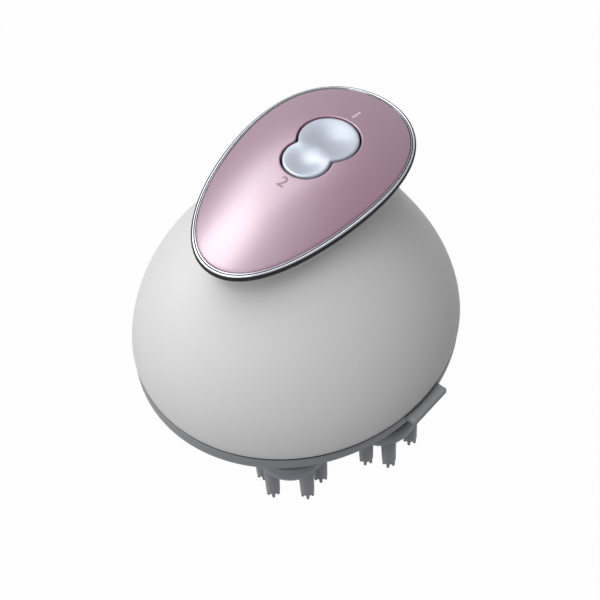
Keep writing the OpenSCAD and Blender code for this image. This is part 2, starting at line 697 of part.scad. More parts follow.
// The middle gear has a tooth at its own turn, seen from the motor's bearing of 270 degrees
function motor_turn() =
    let (turn = mesh_turn(90, slow_wheel_teeth, slow_pinion_teeth))
    270 + (270 - turn) * fast_wheel_teeth / fast_pinion_teeth + 180 + 180 / fast_pinion_teeth;
module motor_pinion() {
    color([0.8, 0.65, 0.35]) placed() translate([0, motor_y, fast_gear_z + 0.1]) rotate(motor_turn())
        gear(fast_pinion_teeth, fast_m, fast_gear_t, shaft_r - seat_in);
}
module motor_screws() {
    color([0.75, 0.75, 0.77]) placed() for (s = [-1, 1])
        translate([s * motor_screw_circle, motor_y, chassis_z])
            screw(small_screw_r, chassis_t + 3, 1.8, 0.9);
}

// ---------- battery, board, inlet ----------

cell_gap = 3.7;
cell_ys = [for (k = [1, 3]) motor_y - case_r - cell_gap - k * cell_r];
tray_y = (cell_ys[0] + cell_ys[1]) / 2;
tray_t = 1.5;
tray_l = 22;
tray_wall = 2;
tray_wall_h = 17;
// The tray's screws stand in from its ends, and clear of the front heads' spindles
tray_screw_in = 6;
tray_screw_gap = 4.5;
spindle_side = head_circle * cos(head_angle);
spindle_ahead = head_circle * sin(head_angle) + tray_y;
tray_screw_x = min(cell_l / 2 - tray_screw_in,
                   spindle_side - sqrt(max(0, pow(tray_screw_gap, 2) - pow(spindle_ahead, 2))));
module battery_tray() {
    x = cell_l / 2 + fit_gap;
    color([0.25, 0.26, 0.28]) placed() translate([0, tray_y, chassis_top]) difference() {
        union() {
            translate([-x - tray_wall, -tray_l / 2, 0]) cube([2 * (x + tray_wall), tray_l, tray_t]);
            for (s = [-1, 1]) translate([s * (x + tray_wall / 2) - tray_wall / 2, -tray_l / 2, 0])
                cube([tray_wall, tray_l, tray_wall_h]);
        }
        for (s = [-1, 1]) translate([s * tray_screw_x, 0, -1]) cylinder(r = small_screw_r + 0.2, h = 4);
    }
}
module battery_cells() {
    color([0.35, 0.5, 0.62]) placed() for (y = cell_ys)
        translate([-cell_l / 2, y, chassis_top + tray_t + cell_r]) rotate([0, 90, 0]) {
            cylinder(r = cell_r, h = cell_l - 1);
            translate([0, 0, cell_l - 1]) cylinder(r = cell_r * 0.4, h = 1);
        }
}
main_z = chassis_top + tray_wall_h;
main_d = 18;         // depth of the main board
main_t = 1.6;
chip_w = 10;
chip_t = 1.6;
plug = [7, 5, 4];    // socket for the motors' leads
plug_at = [12, -6];
can_r = 2.6;         // smoothing capacitor
can_h = 5;
can_at = [-18, 2];
module main_board() {
    w = cell_l + 2 * fit_gap + 2 * tray_wall;
    color([0.1, 0.35, 0.2]) placed() translate([-w / 2, tray_y - main_d / 2, main_z])
        cube([w, main_d, main_t]);
}
module board_parts() {
    color([0.12, 0.12, 0.13]) placed() translate([0, tray_y, main_z + main_t]) {
        translate([-chip_w / 2, -chip_w / 2, 0]) cube([chip_w, chip_w, chip_t]);
        translate(plug_at) cube(plug);
        translate(can_at) cylinder(r = can_r, h = can_h, $fn = 32);
    }
}
module tray_screws() {
    color([0.75, 0.75, 0.77]) placed() for (s = [-1, 1])
        translate([s * tray_screw_x, tray_y, chassis_top + tray_t]) rotate([180, 0, 0])
            cylinder(r = small_screw_r, h = tray_t + chassis_t - 0.3, $fn = 24);
}
module charging_inlet() {
    body_l = inlet_l - (inlet_y - inlet_body_y) + 2;
    color([0.1, 0.1, 0.11]) placed() translate([0, 0, inlet_z]) difference() {
        union() {
            translate([-4.5, inlet_body_y - body_l, -4.8]) cube([9, body_l, 9]);
            translate([0, inlet_body_y - 0.2, 0]) rotate([-90, 0, 0])
                cylinder(r = inlet_nose_r, h = inlet_y - inlet_body_y + 0.2);
        }
        translate([0, inlet_y - inlet_l, 0]) rotate([-90, 0, 0]) cylinder(r = inlet_r, h = inlet_l + 1);
    }
}

// ---------- tapping drive ----------

module tap_motor() {
    color([0.75, 0.76, 0.78]) placed() translate([tap_x, tap_y, tap_z]) rotate([-90, 0, 0]) difference() {
        cylinder(r = tap_r, h = tap_l);
        translate([0, 0, tap_l - 8]) cylinder(r = 1 + run_gap, h = 9, $fn = 32);
    }
}
module tap_clip() {
    w = tap_r + 2;
    color([0.25, 0.26, 0.28]) placed() translate([tap_x, clip_y, chassis_top]) difference() {
        translate([-w, 0, 0]) cube([2 * w, clip_l, tap_r + 3]);
        translate([0, -1, tap_z - chassis_top]) rotate([-90, 0, 0]) cylinder(r = tap_r, h = 12);
    }
}
module tap_weight() {
    color([0.55, 0.5, 0.42]) placed() translate([tap_x, tap_y + tap_l, tap_z]) rotate([-90, 0, 0]) {
        translate([0, 0, -7]) cylinder(r = 1, h = 13, $fn = 32);
        translate([0, 0, 1]) difference() {
            cylinder(r = 4.6, h = 5);
            translate([-5, -5.01, -1]) cube([10, 4, 7]);
            translate([0, 0, -1]) cylinder(r = 1, h = 7, $fn = 32);
        }
    }
}

// ---------- bushes, seals, screws ----------

module spindle_bushes() {
    color([0.8, 0.65, 0.35]) placed() for (i = [0 : 5]) at_head(i)
        translate([0, 0, plate_z + seal_h]) ring(bush_r, spindle_r + run_gap, plate_t + bush_h - seal_h);
}
module top_bushes() {
    color([0.8, 0.65, 0.35]) placed() for (i = [0 : 5]) at_head(i)
        translate([0, 0, chassis_z]) ring(top_bush_r, spindle_r - journal_in + run_gap, chassis_t);
}
module shaft_seals() {
    color([0.06, 0.06, 0.07]) placed() for (i = [0 : 5]) at_head(i)
        translate([0, 0, plate_z]) ring(bush_r, spindle_r + run_gap, seal_h);
}
module long_screws() {
    color([0.75, 0.75, 0.77]) placed() at_posts() translate([0, 0, plate_z])
        screw(screw_r, chassis_top + nut_t - plate_z + 1, 2.7, 1.8);
}
module plate_screws() {
    color([0.75, 0.75, 0.77]) placed() for (s = [-1, 1]) translate([0, s * post_circle, plate_z])
        screw(small_screw_r, plate_t + floor_t - 0.3, 2, 1.2);
}
module hex_nuts() {
    color([0.75, 0.75, 0.77]) placed() at_posts() translate([0, 0, chassis_top]) difference() {
        cylinder(r = nut_r, h = nut_t, $fn = 6);
        translate([0, 0, -1]) cylinder(r = screw_r, h = nut_t + 2, $fn = 24);
    }
}

// ---------- brush heads ----------

prong_taper = 0.3;
prong_root = 2.9;
nub_r = 0.6;
nub_tip_r = 0.55;
nub_circle = prong_r - prong_taper - nub_r - 0.05;
nub_turn = 8;
foot_h = 3;
socket_r = 1.9;
module prong() {
    translate([0, 0, nub_h]) cylinder(r1 = prong_r - prong_taper, r2 = prong_r,
                                      h = prong_l - nub_h + prong_root, $fn = 32);
    for (k = [0 : 4]) rotate(nub_turn + 72 * k) translate([nub_circle, 0, 0])
        cylinder(r1 = nub_tip_r, r2 = nub_r, h = nub_h + 0.6, $fn = 24);
}
module brush(i) {
    color([0.40, 0.42, 0.46]) placed() at_head(i) rotate(head_angles[i]) difference() {
        union() {
            rotate_extrude() polygon([[0, disc_z], [foot_r - 0.6, disc_z], [foot_r, disc_z + 0.6],
                [head_r, disc_z + foot_h], [head_r, disc_top - 1.2], [head_r - 1.2, disc_top],
                [0, disc_top]]);
            prong();
            for (c = [60, 180, 300], s = [-1, 1]) rotate(c + s * prong_pair)
                translate([prong_circle, 0, 0]) rotate(-c - s * prong_pair) prong();
        }
        translate([0, 0, disc_z + 1.5]) cylinder(r = socket_r, h = head_h, $fn = 6);
    }
}
// Steel spindle: hexagon in the brush head, round in the seal and bush, flats under the gear
module spindle(i) {
    color([0.7, 0.7, 0.72]) placed() at_head(i) {
        rotate(head_angles[i]) translate([0, 0, disc_z + 1.5])
            cylinder(r = socket_r, h = head_h - 1.4, $fn = 6);
        translate([0, 0, disc_top]) cylinder(r = spindle_r, h = brush_gear_z - disc_top);
        rotate(brush_turn(i)) translate([0, 0, brush_gear_z - 0.1])
            cylinder(r = spindle_r - seat_in, h = brush_gear_t + 0.1, $fn = press_n);
        translate([0, 0, brush_gear_z + brush_gear_t - 0.1])
            cylinder(r = spindle_r - journal_in, h = chassis_top - brush_gear_z - brush_gear_t - 0.2);
    }
}
function brush_turn(i) = mesh_turn(head_angles[i], centre_teeth, brush_teeth);
module brush_gear(i) {
    color([0.93, 0.92, 0.88]) placed() at_head(i) translate([0, 0, brush_gear_z]) rotate(brush_turn(i))
        gear(brush_teeth, brush_mod, brush_gear_t, spindle_r - seat_in);
}

// ---------- nodes ----------

dome();
seam_seal();
base_ring();
brush_plate();
chassis();
top_panel();
trim_ring();
panel_seal();
top_frame();
rocker();
rocker_pin();
button_board();
button_switches();
board_screws();
centre_axle();
centre_gear();
centre_hub();
axle_clip();
middle_axle();
middle_gear();
middle_hub();
gear_motor_case();
motor_can();
motor_shaft();
motor_pinion();
motor_screws();
battery_tray();
battery_cells();
main_board();
board_parts();
tray_screws();
charging_inlet();
tap_motor();
tap_clip();
tap_weight();
spindle_bushes();
top_bushes();
shaft_seals();
long_screws();
plate_screws();
hex_nuts();
for (i = [0 : 5]) {
    brush(i);
    spindle(i);
    brush_gear(i);
}
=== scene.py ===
"""Cordless electric scalp massager: domed shell, teardrop control panel and rubber brush heads.

Lengths are in metres in the part's own frame: +Z up, -Y towards the panel's narrow tip,
+X towards the grip tab, and the floor that the nubs stand on at z = 0.
"""
import json
import math

import bpy
import numpy as np
from mathutils import Matrix, Vector


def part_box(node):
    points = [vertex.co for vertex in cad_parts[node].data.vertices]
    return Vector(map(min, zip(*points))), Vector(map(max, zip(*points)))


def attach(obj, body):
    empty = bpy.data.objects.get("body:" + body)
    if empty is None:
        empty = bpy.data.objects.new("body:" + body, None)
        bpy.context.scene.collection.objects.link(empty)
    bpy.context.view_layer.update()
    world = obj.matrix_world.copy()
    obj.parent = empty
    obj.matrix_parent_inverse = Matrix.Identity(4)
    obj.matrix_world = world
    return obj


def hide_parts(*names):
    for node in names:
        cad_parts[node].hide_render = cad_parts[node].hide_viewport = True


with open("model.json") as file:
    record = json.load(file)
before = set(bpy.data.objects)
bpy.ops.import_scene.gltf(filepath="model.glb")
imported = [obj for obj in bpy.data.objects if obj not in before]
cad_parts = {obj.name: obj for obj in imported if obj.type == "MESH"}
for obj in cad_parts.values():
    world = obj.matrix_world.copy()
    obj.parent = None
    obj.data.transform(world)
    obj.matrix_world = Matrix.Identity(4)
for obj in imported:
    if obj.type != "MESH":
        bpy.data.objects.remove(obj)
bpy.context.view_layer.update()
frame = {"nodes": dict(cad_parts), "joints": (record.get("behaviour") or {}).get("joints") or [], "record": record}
joint_of = {joint["child"]: joint for joint in frame["joints"]}
MM = 0.001

# ---------------------------------------------------------------- sizes

dome_low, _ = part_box("dome")
trim_low, trim_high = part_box("trim_ring")
inlet_low, inlet_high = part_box("charging_inlet")
_, rocker_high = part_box("rocker")
_, switch_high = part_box("button_switches")

CENTRE_X = (trim_low.x + trim_high.x) / 2
SEAM_Z = dome_low.z
AXIS_R = 0.01 * MM                     # small flat where a turned shape meets its axis

# Dome and neck
DOME_W, DOME_L, DOME_H = 108.2 * MM, 116.2 * MM, 61.4 * MM
DOME_WALL = 2.4 * MM
DOME_P, DOME_Q = 1.68, 1.575           # how late the side turns in, how round the shoulder is
BLEND_N = 8                            # how tightly the neck meets the dome
NECK_IN, LIP_IN = 7.5 * MM, 1.4 * MM   # insets of the neck and of its lip from the rim
FLARE_N = 8                            # how late the neck flares out to its lip
EDGE_IN, EDGE_H = 0.2 * MM, 1 * MM     # the lower edge is drawn in by this, over this height

# Charging inlet
INLET_R = 4.15 * MM
INLET_Z = (inlet_low.z + inlet_high.z) / 2 + 0.3 * MM
INLET_CUT, INLET_DEPTH = 20 * MM, 8 * MM   # length of the cut, and its start inside the socket's face

# Control panel, its trim and the black seal below, which is partly painted shade under the trim
PANEL_W, PANEL_L = 54 * MM, trim_high.y - trim_low.y
PANEL_Y = (trim_low.y + trim_high.y) / 2
EGG, PINCH = 0.157, 0.047              # how much fuller the back is, how much the sides draw in
RIM_Z, RIM_DROP = 69.65 * MM, 2.5 * MM
CROWN_H, CROWN_P = 6.4 * MM, 2.2
PANEL_T, PANEL_GAP, PANEL_ROUND = 1.8 * MM, 0.12 * MM, 0.45 * MM
TRIM_W, TRIM_H, SEAL_T = 1.8 * MM, 1.4 * MM, 0.8 * MM
SEAL_GAP = 0.05 * MM                   # between the seal and the neck's lip

# Rocker button
_, WAIST_Y, PIVOT_Z = joint_of["rocker"]["pos_m"]
LOBE_R, SMALL_LOBE_R = 9.85 * MM, 7.8 * MM
SMALL_LOBE_Y = 10.2 * MM
LOBE_Y = SMALL_LOBE_Y + 11.4 * MM
NOTCH_N = 12                           # how sharp the notches between the lobes are
ROCKER_GAP, ROCKER_PROUD, ROCKER_ROUND = 0.6 * MM, 0.2 * MM, 0.7 * MM
ROCKER_TOP = SEAM_Z + RIM_Z + CROWN_H + ROCKER_PROUD
SKIRT_H = 5.2 * MM
CAP_UNDER = rocker_high.z - 4.5 * MM   # where the ear and the pushers end inside the cap
BEND_L, BEND_W = 122 * MM, 69 * MM     # radii of its top along and across
DISHES = ((LOBE_Y + 0.4 * MM, LOBE_R + 0.3 * MM, 1.5 * MM),   # middle, radius and depth
          (SMALL_LOBE_Y - 0.4 * MM, SMALL_LOBE_R + 0.2 * MM, 1.25 * MM))
EAR_X, EAR_Y, EAR_DROP = 3 * MM, 2 * MM, 1.8 * MM
PUSHER_PLACES = (SMALL_LOBE_Y - 1.5 * MM, LOBE_Y + 1 * MM)
PUSHER_R, PUSHER_GAP = 1.6 * MM, 0.62 * MM

# Base ring, gear tub, seam and grip tab
RING_H, RING_IN, SEAM_T = 6.15 * MM, 0.9 * MM, 0.4 * MM
BAND_DROP, BAND_ROUND, LOWER_ROUND = 0.45 * MM, 0.3 * MM, 2.6   # the last is times the upper one
COLLAR_IN, COLLAR_T, COLLAR_H = 2.85 * MM, 1.6 * MM, 2.4 * MM
TUB_R, TUB_WALL, KNEE_H = 47.5 * MM, 2 * MM, 2.6 * MM
FLOOR_R, OPENING_R, FLOOR_Z, FLOOR_T = 44.5 * MM, 35.5 * MM, 26 * MM, 2 * MM
TAB_OUT, TAB_L, TAB_Y, TAB_T, TAB_DROP = 2.6 * MM, 17.4 * MM, 1.4 * MM, 2.5 * MM, 2.4 * MM
TAB_ROOT, TAB_ROUND = 3 * MM, 0.6 * MM

# Brush heads
HEAD_R, FOOT_R, FOOT_H, HEAD_H = 12.6 * MM, 11.3 * MM, 3 * MM, 7.5 * MM
HEAD_ROUND, FOOT_ROUND = 1.6 * MM, 0.7 * MM
PRONG_L, PRONG_R, PRONG_TAPER, PRONG_ROUND = 12.7 * MM, 2.7 * MM, 0.3 * MM, 0.5 * MM
PRONG_CIRCLE = 9.9 * MM
PRONG_PAIRS, PRONG_SPREAD = (60, 180, 300), 23.5   # degrees: a pair's middle, half its angle
MIDDLE_ROOT, OUTER_ROOT = 0.5 * MM, 2.9 * MM       # how far a prong goes up into the disc
NUBS, NUB_H, NUB_CIRCLE, NUB_TURN = 5, 2.2 * MM, 1.75 * MM, 8   # the last is in degrees

# Numerals
NUMERAL_SIZE, NUMERAL_BOLD = 5.8 * MM, 0.08 * MM
NUMERAL_T, NUMERAL_SUNK = 0.05 * MM, 0.01 * MM

# Camera, floor and light
CAMERA_ELEVATION, CAMERA_AZIMUTH, CAMERA_ROLL = 53.26, 42.45, 4.0
CAMERA_DISTANCE, CAMERA_AIM_Z = 0.850, 0.041
PIXELS_PER_METRE = 2941.4
TARGET_PIXEL = (296.17, 319.23)        # where the aim falls in the frame
IMAGE_SIZE = 600
FLOOR_REACH = 4.0
FLOOR_COLOUR = (0.18, 0.18, 0.19, 1)
FLOOR_WHITENESS = 0.985                # the rest of the floor's shade is lit, and takes the shadow
SKY_LEVEL, SKY_SLOPE = 0.305, (-0.145, 0.03, 0.144)   # light from all round, and how it leans
LAMP_AIM_Z = SEAM_Z + 20 * MM

# ---------------------------------------------------------------- camera


def new_object(name, data):
    """An object at the origin that holds the data, linked to the scene."""
    thing = bpy.data.objects.new(name, data)
    bpy.context.scene.collection.objects.link(thing)
    return thing


def make_camera():
    """Places the camera by its direction, roll, distance and where its aim falls."""
    a, e, roll = map(math.radians, (CAMERA_AZIMUTH, CAMERA_ELEVATION, CAMERA_ROLL))
    back = Vector((math.sin(a) * math.cos(e), -math.cos(a) * math.cos(e), math.sin(e)))
    level = Vector((math.cos(a), math.sin(a), 0))
    upward = back.cross(level)
    right = level * math.cos(roll) - upward * math.sin(roll)
    up = level * math.sin(roll) + upward * math.cos(roll)
    half = IMAGE_SIZE / 2
    aside = (TARGET_PIXEL[0] - half) / PIXELS_PER_METRE
    above = (half - TARGET_PIXEL[1]) / PIXELS_PER_METRE
    target = Vector((CENTRE_X, 0, CAMERA_AIM_Z))
    place = target + back * CAMERA_DISTANCE - right * aside - up * above
    data = bpy.data.cameras.new("camera")
    data.sensor_width = 36
    data.lens = PIXELS_PER_METRE * CAMERA_DISTANCE * data.sensor_width / IMAGE_SIZE
    data.clip_start, data.clip_end = 0.01, 20
    camera = new_object("camera", data)
    turn = Matrix((right, up, back)).transposed().to_4x4()
    camera.matrix_world = Matrix.Translation(place) @ turn
    bpy.context.scene.camera = camera


make_camera()

# ---------------------------------------------------------------- node helpers and groups


def srgb(r, g, b):
    """A colour written as 0 to 255 on screen, as linear light."""
    c = np.array([r, g, b]) / 255
    return (*np.where(c <= 0.04045, c / 12.92, ((c + 0.055) / 1.055) ** 2.4), 1.0)


def new_group(name, inputs, outputs):
    """An empty shader node group with those sockets."""
    group = bpy.data.node_groups.new(name, "ShaderNodeTree")
    for label, kind, value in inputs:
        socket = group.interface.new_socket(name=label, in_out="INPUT", socket_type=kind)
        if value is not None:
            socket.default_value = value
    for label, kind in outputs:
        group.interface.new_socket(name=label, in_out="OUTPUT", socket_type=kind)
    return group, group.nodes.new("NodeGroupInput"), group.nodes.new("NodeGroupOutput")


def add_node(tree, kind, settings=None, **inputs):
    """Adds a node, sets its properties, and sets or links its inputs, which are given by name
    with _ for a space, or by place as i0, i1 and so on."""
    node = tree.nodes.new(kind)
    for key, value in (settings or {}).items():
        setattr(node, key, value)
    for key, value in inputs.items():
        number = key[1:] if key[0] == "i" else ""
        socket = node.inputs[int(number)] if number.isdigit() else node.inputs[key.replace("_", " ")]
        if isinstance(value, bpy.types.NodeSocket):
            tree.links.new(value, socket)
        else:
            socket.default_value = value
    return node


def math_node(tree, operation, a, b=0.0, clamp=False):
    settings = {"operation": operation, "use_clamp": clamp}
    return add_node(tree, "ShaderNodeMath", settings, i0=a, i1=b).outputs[0]


def mix_colour(tree, factor, a, b, blend="MIX"):
    settings = {"data_type": "RGBA", "blend_type": blend}
    return add_node(tree, "ShaderNodeMix", settings, i0=factor, i6=a, i7=b).outputs[2]


def object_place(tree, given):
    """Object coordinates, and the scale that makes a pattern's cells as large as Size."""
    place = tree.nodes.new("ShaderNodeTexCoord").outputs["Object"]
    return place, math_node(tree, "DIVIDE", 1.0, given.outputs["Size"])


def make_flake_group():
    """Fine reflective flake in a lacquer: cells of slightly different brightness and lean."""
    group, given, out = new_group(
        "lacquer flake",
        [("Colour", "NodeSocketColor", None), ("Size", "NodeSocketFloat", 0.0002),
         ("Contrast", "NodeSocketFloat", 0.1), ("Lean", "NodeSocketFloat", 0.1)],
        [("Colour", "NodeSocketColor"), ("Normal", "NodeSocketVector")])
    place, scale = object_place(group, given)
    cells = add_node(group, "ShaderNodeTexVoronoi", {"feature": "F1"}, Vector=place, Scale=scale)
    tone = add_node(group, "ShaderNodeSeparateColor", i0=cells.outputs["Color"]).outputs[0]
    from_middle = math_node(group, "SUBTRACT", tone, 0.5)
    shift = math_node(group, "MULTIPLY", from_middle, given.outputs["Contrast"])
    gain = math_node(group, "ADD", shift, 1.0)
    grey = add_node(group, "ShaderNodeCombineColor", i0=gain, i1=gain, i2=gain).outputs[0]
    colour = mix_colour(group, 1.0, given.outputs["Colour"], grey, "MULTIPLY")
    lean = add_node(group, "ShaderNodeBump", Strength=given.outputs["Lean"], Distance=0.02 * MM,
                    Height=tone)
    group.links.new(colour, out.inputs["Colour"])
    group.links.new(lean.outputs["Normal"], out.inputs["Normal"])
    return group


def make_grain_group():
    """Moulded or turned grain: fine noise as a height, and mixed with noise 25 times as broad as
    a change of roughness."""
    group, given, out = new_group(
        "surface grain",
        [("Size", "NodeSocketFloat", 0.0005), ("Roughness", "NodeSocketFloat", 0.4),
         ("Variation", "NodeSocketFloat", 0.08)],
        [("Height", "NodeSocketFloat"), ("Roughness", "NodeSocketFloat")])
    place, scale = object_place(group, given)
    broad_scale = math_node(group, "MULTIPLY", scale, 0.04)
    fine = add_node(group, "ShaderNodeTexNoise", Vector=place, Scale=scale, Detail=3.0).outputs[0]
    broad = add_node(group, "ShaderNodeTexNoise", Vector=place, Scale=broad_scale, Detail=2.0).outputs[0]
    fine_part = math_node(group, "MULTIPLY", fine, 0.35)
    both = math_node(group, "ADD", fine_part, math_node(group, "MULTIPLY", broad, 0.65))
    from_middle = math_node(group, "SUBTRACT", both, 0.5)
    shift = math_node(group, "MULTIPLY", from_middle, given.outputs["Variation"])
    roughness = math_node(group, "ADD", given.outputs["Roughness"], shift, clamp=True)
    group.links.new(fine, out.inputs["Height"])
    group.links.new(roughness, out.inputs["Roughness"])
    return group


def make_tint_group():
    """Slow drift of a colour across a piece, as pigment or handling leaves it."""
    group, given, out = new_group(
        "colour drift",
        [("Colour", "NodeSocketColor", None), ("Second Colour", "NodeSocketColor", None),
         ("Size", "NodeSocketFloat", 0.02), ("Amount", "NodeSocketFloat", 0.5)],
        [("Colour", "NodeSocketColor")])
    place, scale = object_place(group, given)
    noise = add_node(group, "ShaderNodeTexNoise", Vector=place, Scale=scale, Detail=4.0).outputs[0]
    amount = math_node(group, "MULTIPLY", noise, given.outputs["Amount"], clamp=True)
    colour = mix_colour(group, amount, given.outputs["Colour"], given.outputs["Second Colour"])
    group.links.new(colour, out.inputs["Colour"])
    return group


FLAKE, GRAIN, DRIFT = make_flake_group(), make_grain_group(), make_tint_group()


def use_group(tree, group, **inputs):
    return add_node(tree, "ShaderNodeGroup", {"node_tree": group}, **inputs)


def new_material(name, constants):
    """A material with a Principled BSDF whose constant sockets are set here."""
    material = bpy.data.materials.new(name)
    material.use_nodes = True
    tree = material.node_tree
    shader = tree.nodes["Principled BSDF"]
    for key, value in constants.items():
        shader.inputs[key.replace("_", " ")].default_value = value
    return material, tree, shader


def grained(name, colour, second, grain, roughness, bump, **constants):
    """Moulded plastic, rubber, metal or board: a colour that drifts to the second over 20 mm,
    and grain of that many millimetres in height and roughness."""
    material, tree, shader = new_material(name, constants)
    size = grain * MM
    drift = use_group(tree, DRIFT, Colour=srgb(*colour), Second_Colour=srgb(*second),
                      Size=20 * MM, Amount=0.9)
    noise = use_group(tree, GRAIN, Size=size, Roughness=roughness, Variation=0.1)
    height = add_node(tree, "ShaderNodeBump", Strength=bump, Distance=size * 0.1,
                      Height=noise.outputs["Height"])
    tree.links.new(drift.outputs["Colour"], shader.inputs["Base Color"])
    tree.links.new(noise.outputs["Roughness"], shader.inputs["Roughness"])
    tree.links.new(height.outputs["Normal"], shader.inputs["Normal"])
    return material


def lacquered(name, colour, second, contrast, lean, roughness, **constants):
    """Lacquer with flakes of 0.12 mm: a colour that drifts to the second over 50 mm, flakes that
    differ in tone by contrast and in direction by lean, and a slightly varied roughness."""
    material, tree, shader = new_material(name, constants)
    drift = use_group(tree, DRIFT, Colour=srgb(*colour), Second_Colour=srgb(*second),
                      Size=50 * MM, Amount=0.8)
    flakes = use_group(tree, FLAKE, Colour=drift.outputs["Colour"], Size=0.12 * MM,
                       Contrast=contrast, Lean=lean)
    noise = use_group(tree, GRAIN, Size=1 * MM, Roughness=roughness, Variation=0.05)
    tree.links.new(flakes.outputs["Colour"], shader.inputs["Base Color"])
    tree.links.new(flakes.outputs["Normal"], shader.inputs["Normal"])
    tree.links.new(noise.outputs["Roughness"], shader.inputs["Roughness"])
    return material


# ---------------------------------------------------------------- materials

pearl_white = lacquered("pearl white lacquer", (223, 222, 222), (218, 217, 217),
                        contrast=0.04, lean=0.04, roughness=0.5, Metallic=0.04, Specular_IOR_Level=0.15)
rose_lacquer = lacquered("rose lacquer", (139, 100, 123), (133, 94, 117),
                         contrast=0.10, lean=0.06, roughness=0.42,
                         Coat_Weight=1.0, Coat_Roughness=0.3, Specular_IOR_Level=0.75)
silver_lacquer = lacquered("silver blue lacquer", (168, 175, 187), (162, 169, 182),
                           contrast=0.05, lean=0.04, roughness=0.38, Metallic=0.2,
                           Coat_Weight=0.3, Coat_Roughness=0.2, Specular_IOR_Level=0.4)
bright_plating = grained("bright plating", (162, 164, 171), (154, 156, 164),
                         grain=2, roughness=0.16, bump=0.01, Metallic=1.0)
slate_plastic = grained("slate plastic", (144, 146, 151), (136, 138, 144),
                        grain=0.4, roughness=0.46, bump=0.10, Specular_IOR_Level=0.35)
plate_plastic = grained("dark slate plastic", (104, 108, 118), (96, 100, 110),
                        grain=0.4, roughness=0.5, bump=0.15)
slate_rubber = grained("slate silicone", (130, 133, 141), (121, 124, 132),
                       grain=0.3, roughness=0.48, bump=0.12, Sheen_Weight=0.15)
black_rubber = grained("black rubber", (11, 11, 13), (17, 17, 19),
                       grain=0.3, roughness=0.5, bump=0.1, Specular_IOR_Level=0.2)
black_plastic = grained("black plastic", (34, 34, 37), (42, 42, 45), grain=0.4, roughness=0.5, bump=0.15)
white_plastic = grained("white plastic", (224, 225, 226), (214, 215, 217),
                        grain=0.5, roughness=0.5, bump=0.12)
acetal = grained("acetal", (236, 232, 220), (226, 222, 208),
                 grain=0.4, roughness=0.38, bump=0.06, Subsurface_Weight=0.05)
steel = grained("zinc plated steel", (176, 178, 184), (158, 160, 168),
                grain=0.6, roughness=0.28, bump=0.10, Metallic=1.0)
can_steel = grained("motor steel", (168, 170, 174), (150, 152, 157),
                    grain=0.8, roughness=0.34, bump=0.12, Metallic=1.0)
brass = grained("turned brass", (206, 174, 110), (188, 154, 92),
                grain=0.4, roughness=0.3, bump=0.08, Metallic=1.0)
board_mask = grained("board mask", (28, 92, 56), (22, 78, 48), grain=0.6, roughness=0.35, bump=0.08)
cell_sleeve = grained("cell sleeve", (70, 118, 160), (60, 104, 146),
                      grain=0.8, roughness=0.3, bump=0.06, Coat_Weight=0.3)
pale_ink = grained("pale ink", (222, 196, 208), (214, 188, 200), grain=0.4, roughness=0.4, bump=0.04)
plum_ink = grained("plum ink", (120, 88, 98), (112, 80, 90), grain=0.4, roughness=0.4, bump=0.04)

MATERIAL_OF_SLOT = {
    "pearl_shell": pearl_white, "slate_ring": slate_plastic, "plate_grey": plate_plastic,
    "frame_white": white_plastic, "rose_panel": rose_lacquer, "bright_trim": bright_plating,
    "rocker_silver": silver_lacquer, "seal_black": black_rubber, "inner_black": black_plastic,
    "board_green": board_mask, "steel": steel, "motor_steel": can_steel, "brass": brass,
    "gear_ivory": acetal, "cell_blue": cell_sleeve, "brush_rubber": slate_rubber,
}
for subpart in frame["record"]["subparts"]:
    node = frame["nodes"][subpart["node"]]
    node.data.materials.clear()
    node.data.materials.append(MATERIAL_OF_SLOT[subpart["material_slot"]])

# ---------------------------------------------------------------- mesh helpers


def round_about(count):
    """Angles of that many points round a closed outline."""
    return np.linspace(0, 2 * np.pi, count, endpoint=False)


def ring_faces(rings, points, closed_path):
    """Quads between neighbouring rings, each of as many points, as rows of four indices."""
    i = np.arange(rings if closed_path else rings - 1)[:, None] * points
    j = np.arange(points)[None, :]
    k = (j + 1) % points
    n = rings * points
    return np.stack([i + j, i + k, (i + k + points) % n, (i + j + points) % n], -1).reshape(-1, 4)


def outward(verts, faces):
    """The same closed mesh with its faces turned so that its volume is positive."""
    centre = verts.mean(0)
    corners = np.array([(f[0], f[k], f[k + 1]) for f in faces for k in range(1, len(f) - 1)])
    a, b, c = (verts[corners[:, k]] - centre for k in range(3))
    if np.einsum("ij,ij->i", a, np.cross(b, c)).sum() < 0:
        faces = [f[::-1] for f in faces]
    return verts, faces


def tube(rings, closed_path=False):
    """Vertices and faces of a tube through rings (rings x points x 3), closed along its path or
    by one flat face at each end. The faces are turned outwards by the sign of its volume."""
    rings = np.asarray(rings, float)
    n, m, _ = rings.shape
    faces = [list(f) for f in ring_faces(n, m, closed_path)]
    if not closed_path:
        faces.append(list(range(m - 1, -1, -1)))
        faces.append(list(range((n - 1) * m, n * m)))
    return outward(rings.reshape(-1, 3), faces)


def lathe(profile, centre, points):
    """A profile of (radius, height) turned about a vertical axis through centre."""
    a = round_about(points)
    profile = np.asarray(profile, float)
    r, z = profile[:, 0][:, None], profile[:, 1][:, None]
    x, y = centre[0] + r * np.cos(a), centre[1] + r * np.sin(a)
    return tube(np.stack([x, y, z + 0 * a + centre[2]], -1))


def slab(low, high):
    """A closed block between two corners."""
    x, y, z = zip(low, high)
    corners = np.array([(x[i], y[j], z[k]) for k in (0, 1) for i, j in ((0, 0), (1, 0), (1, 1), (0, 1))])
    return tube(corners.reshape(2, 4, 3))


def fillet(corner_r, corner_z, size, start, end, steps=5):
    """Points of an arc of radius size about (corner_r, corner_z), from start to end degrees."""
    a = np.radians(np.linspace(start, end, steps))
    return np.stack([corner_r + size * np.cos(a), corner_z + size * np.sin(a)], -1)


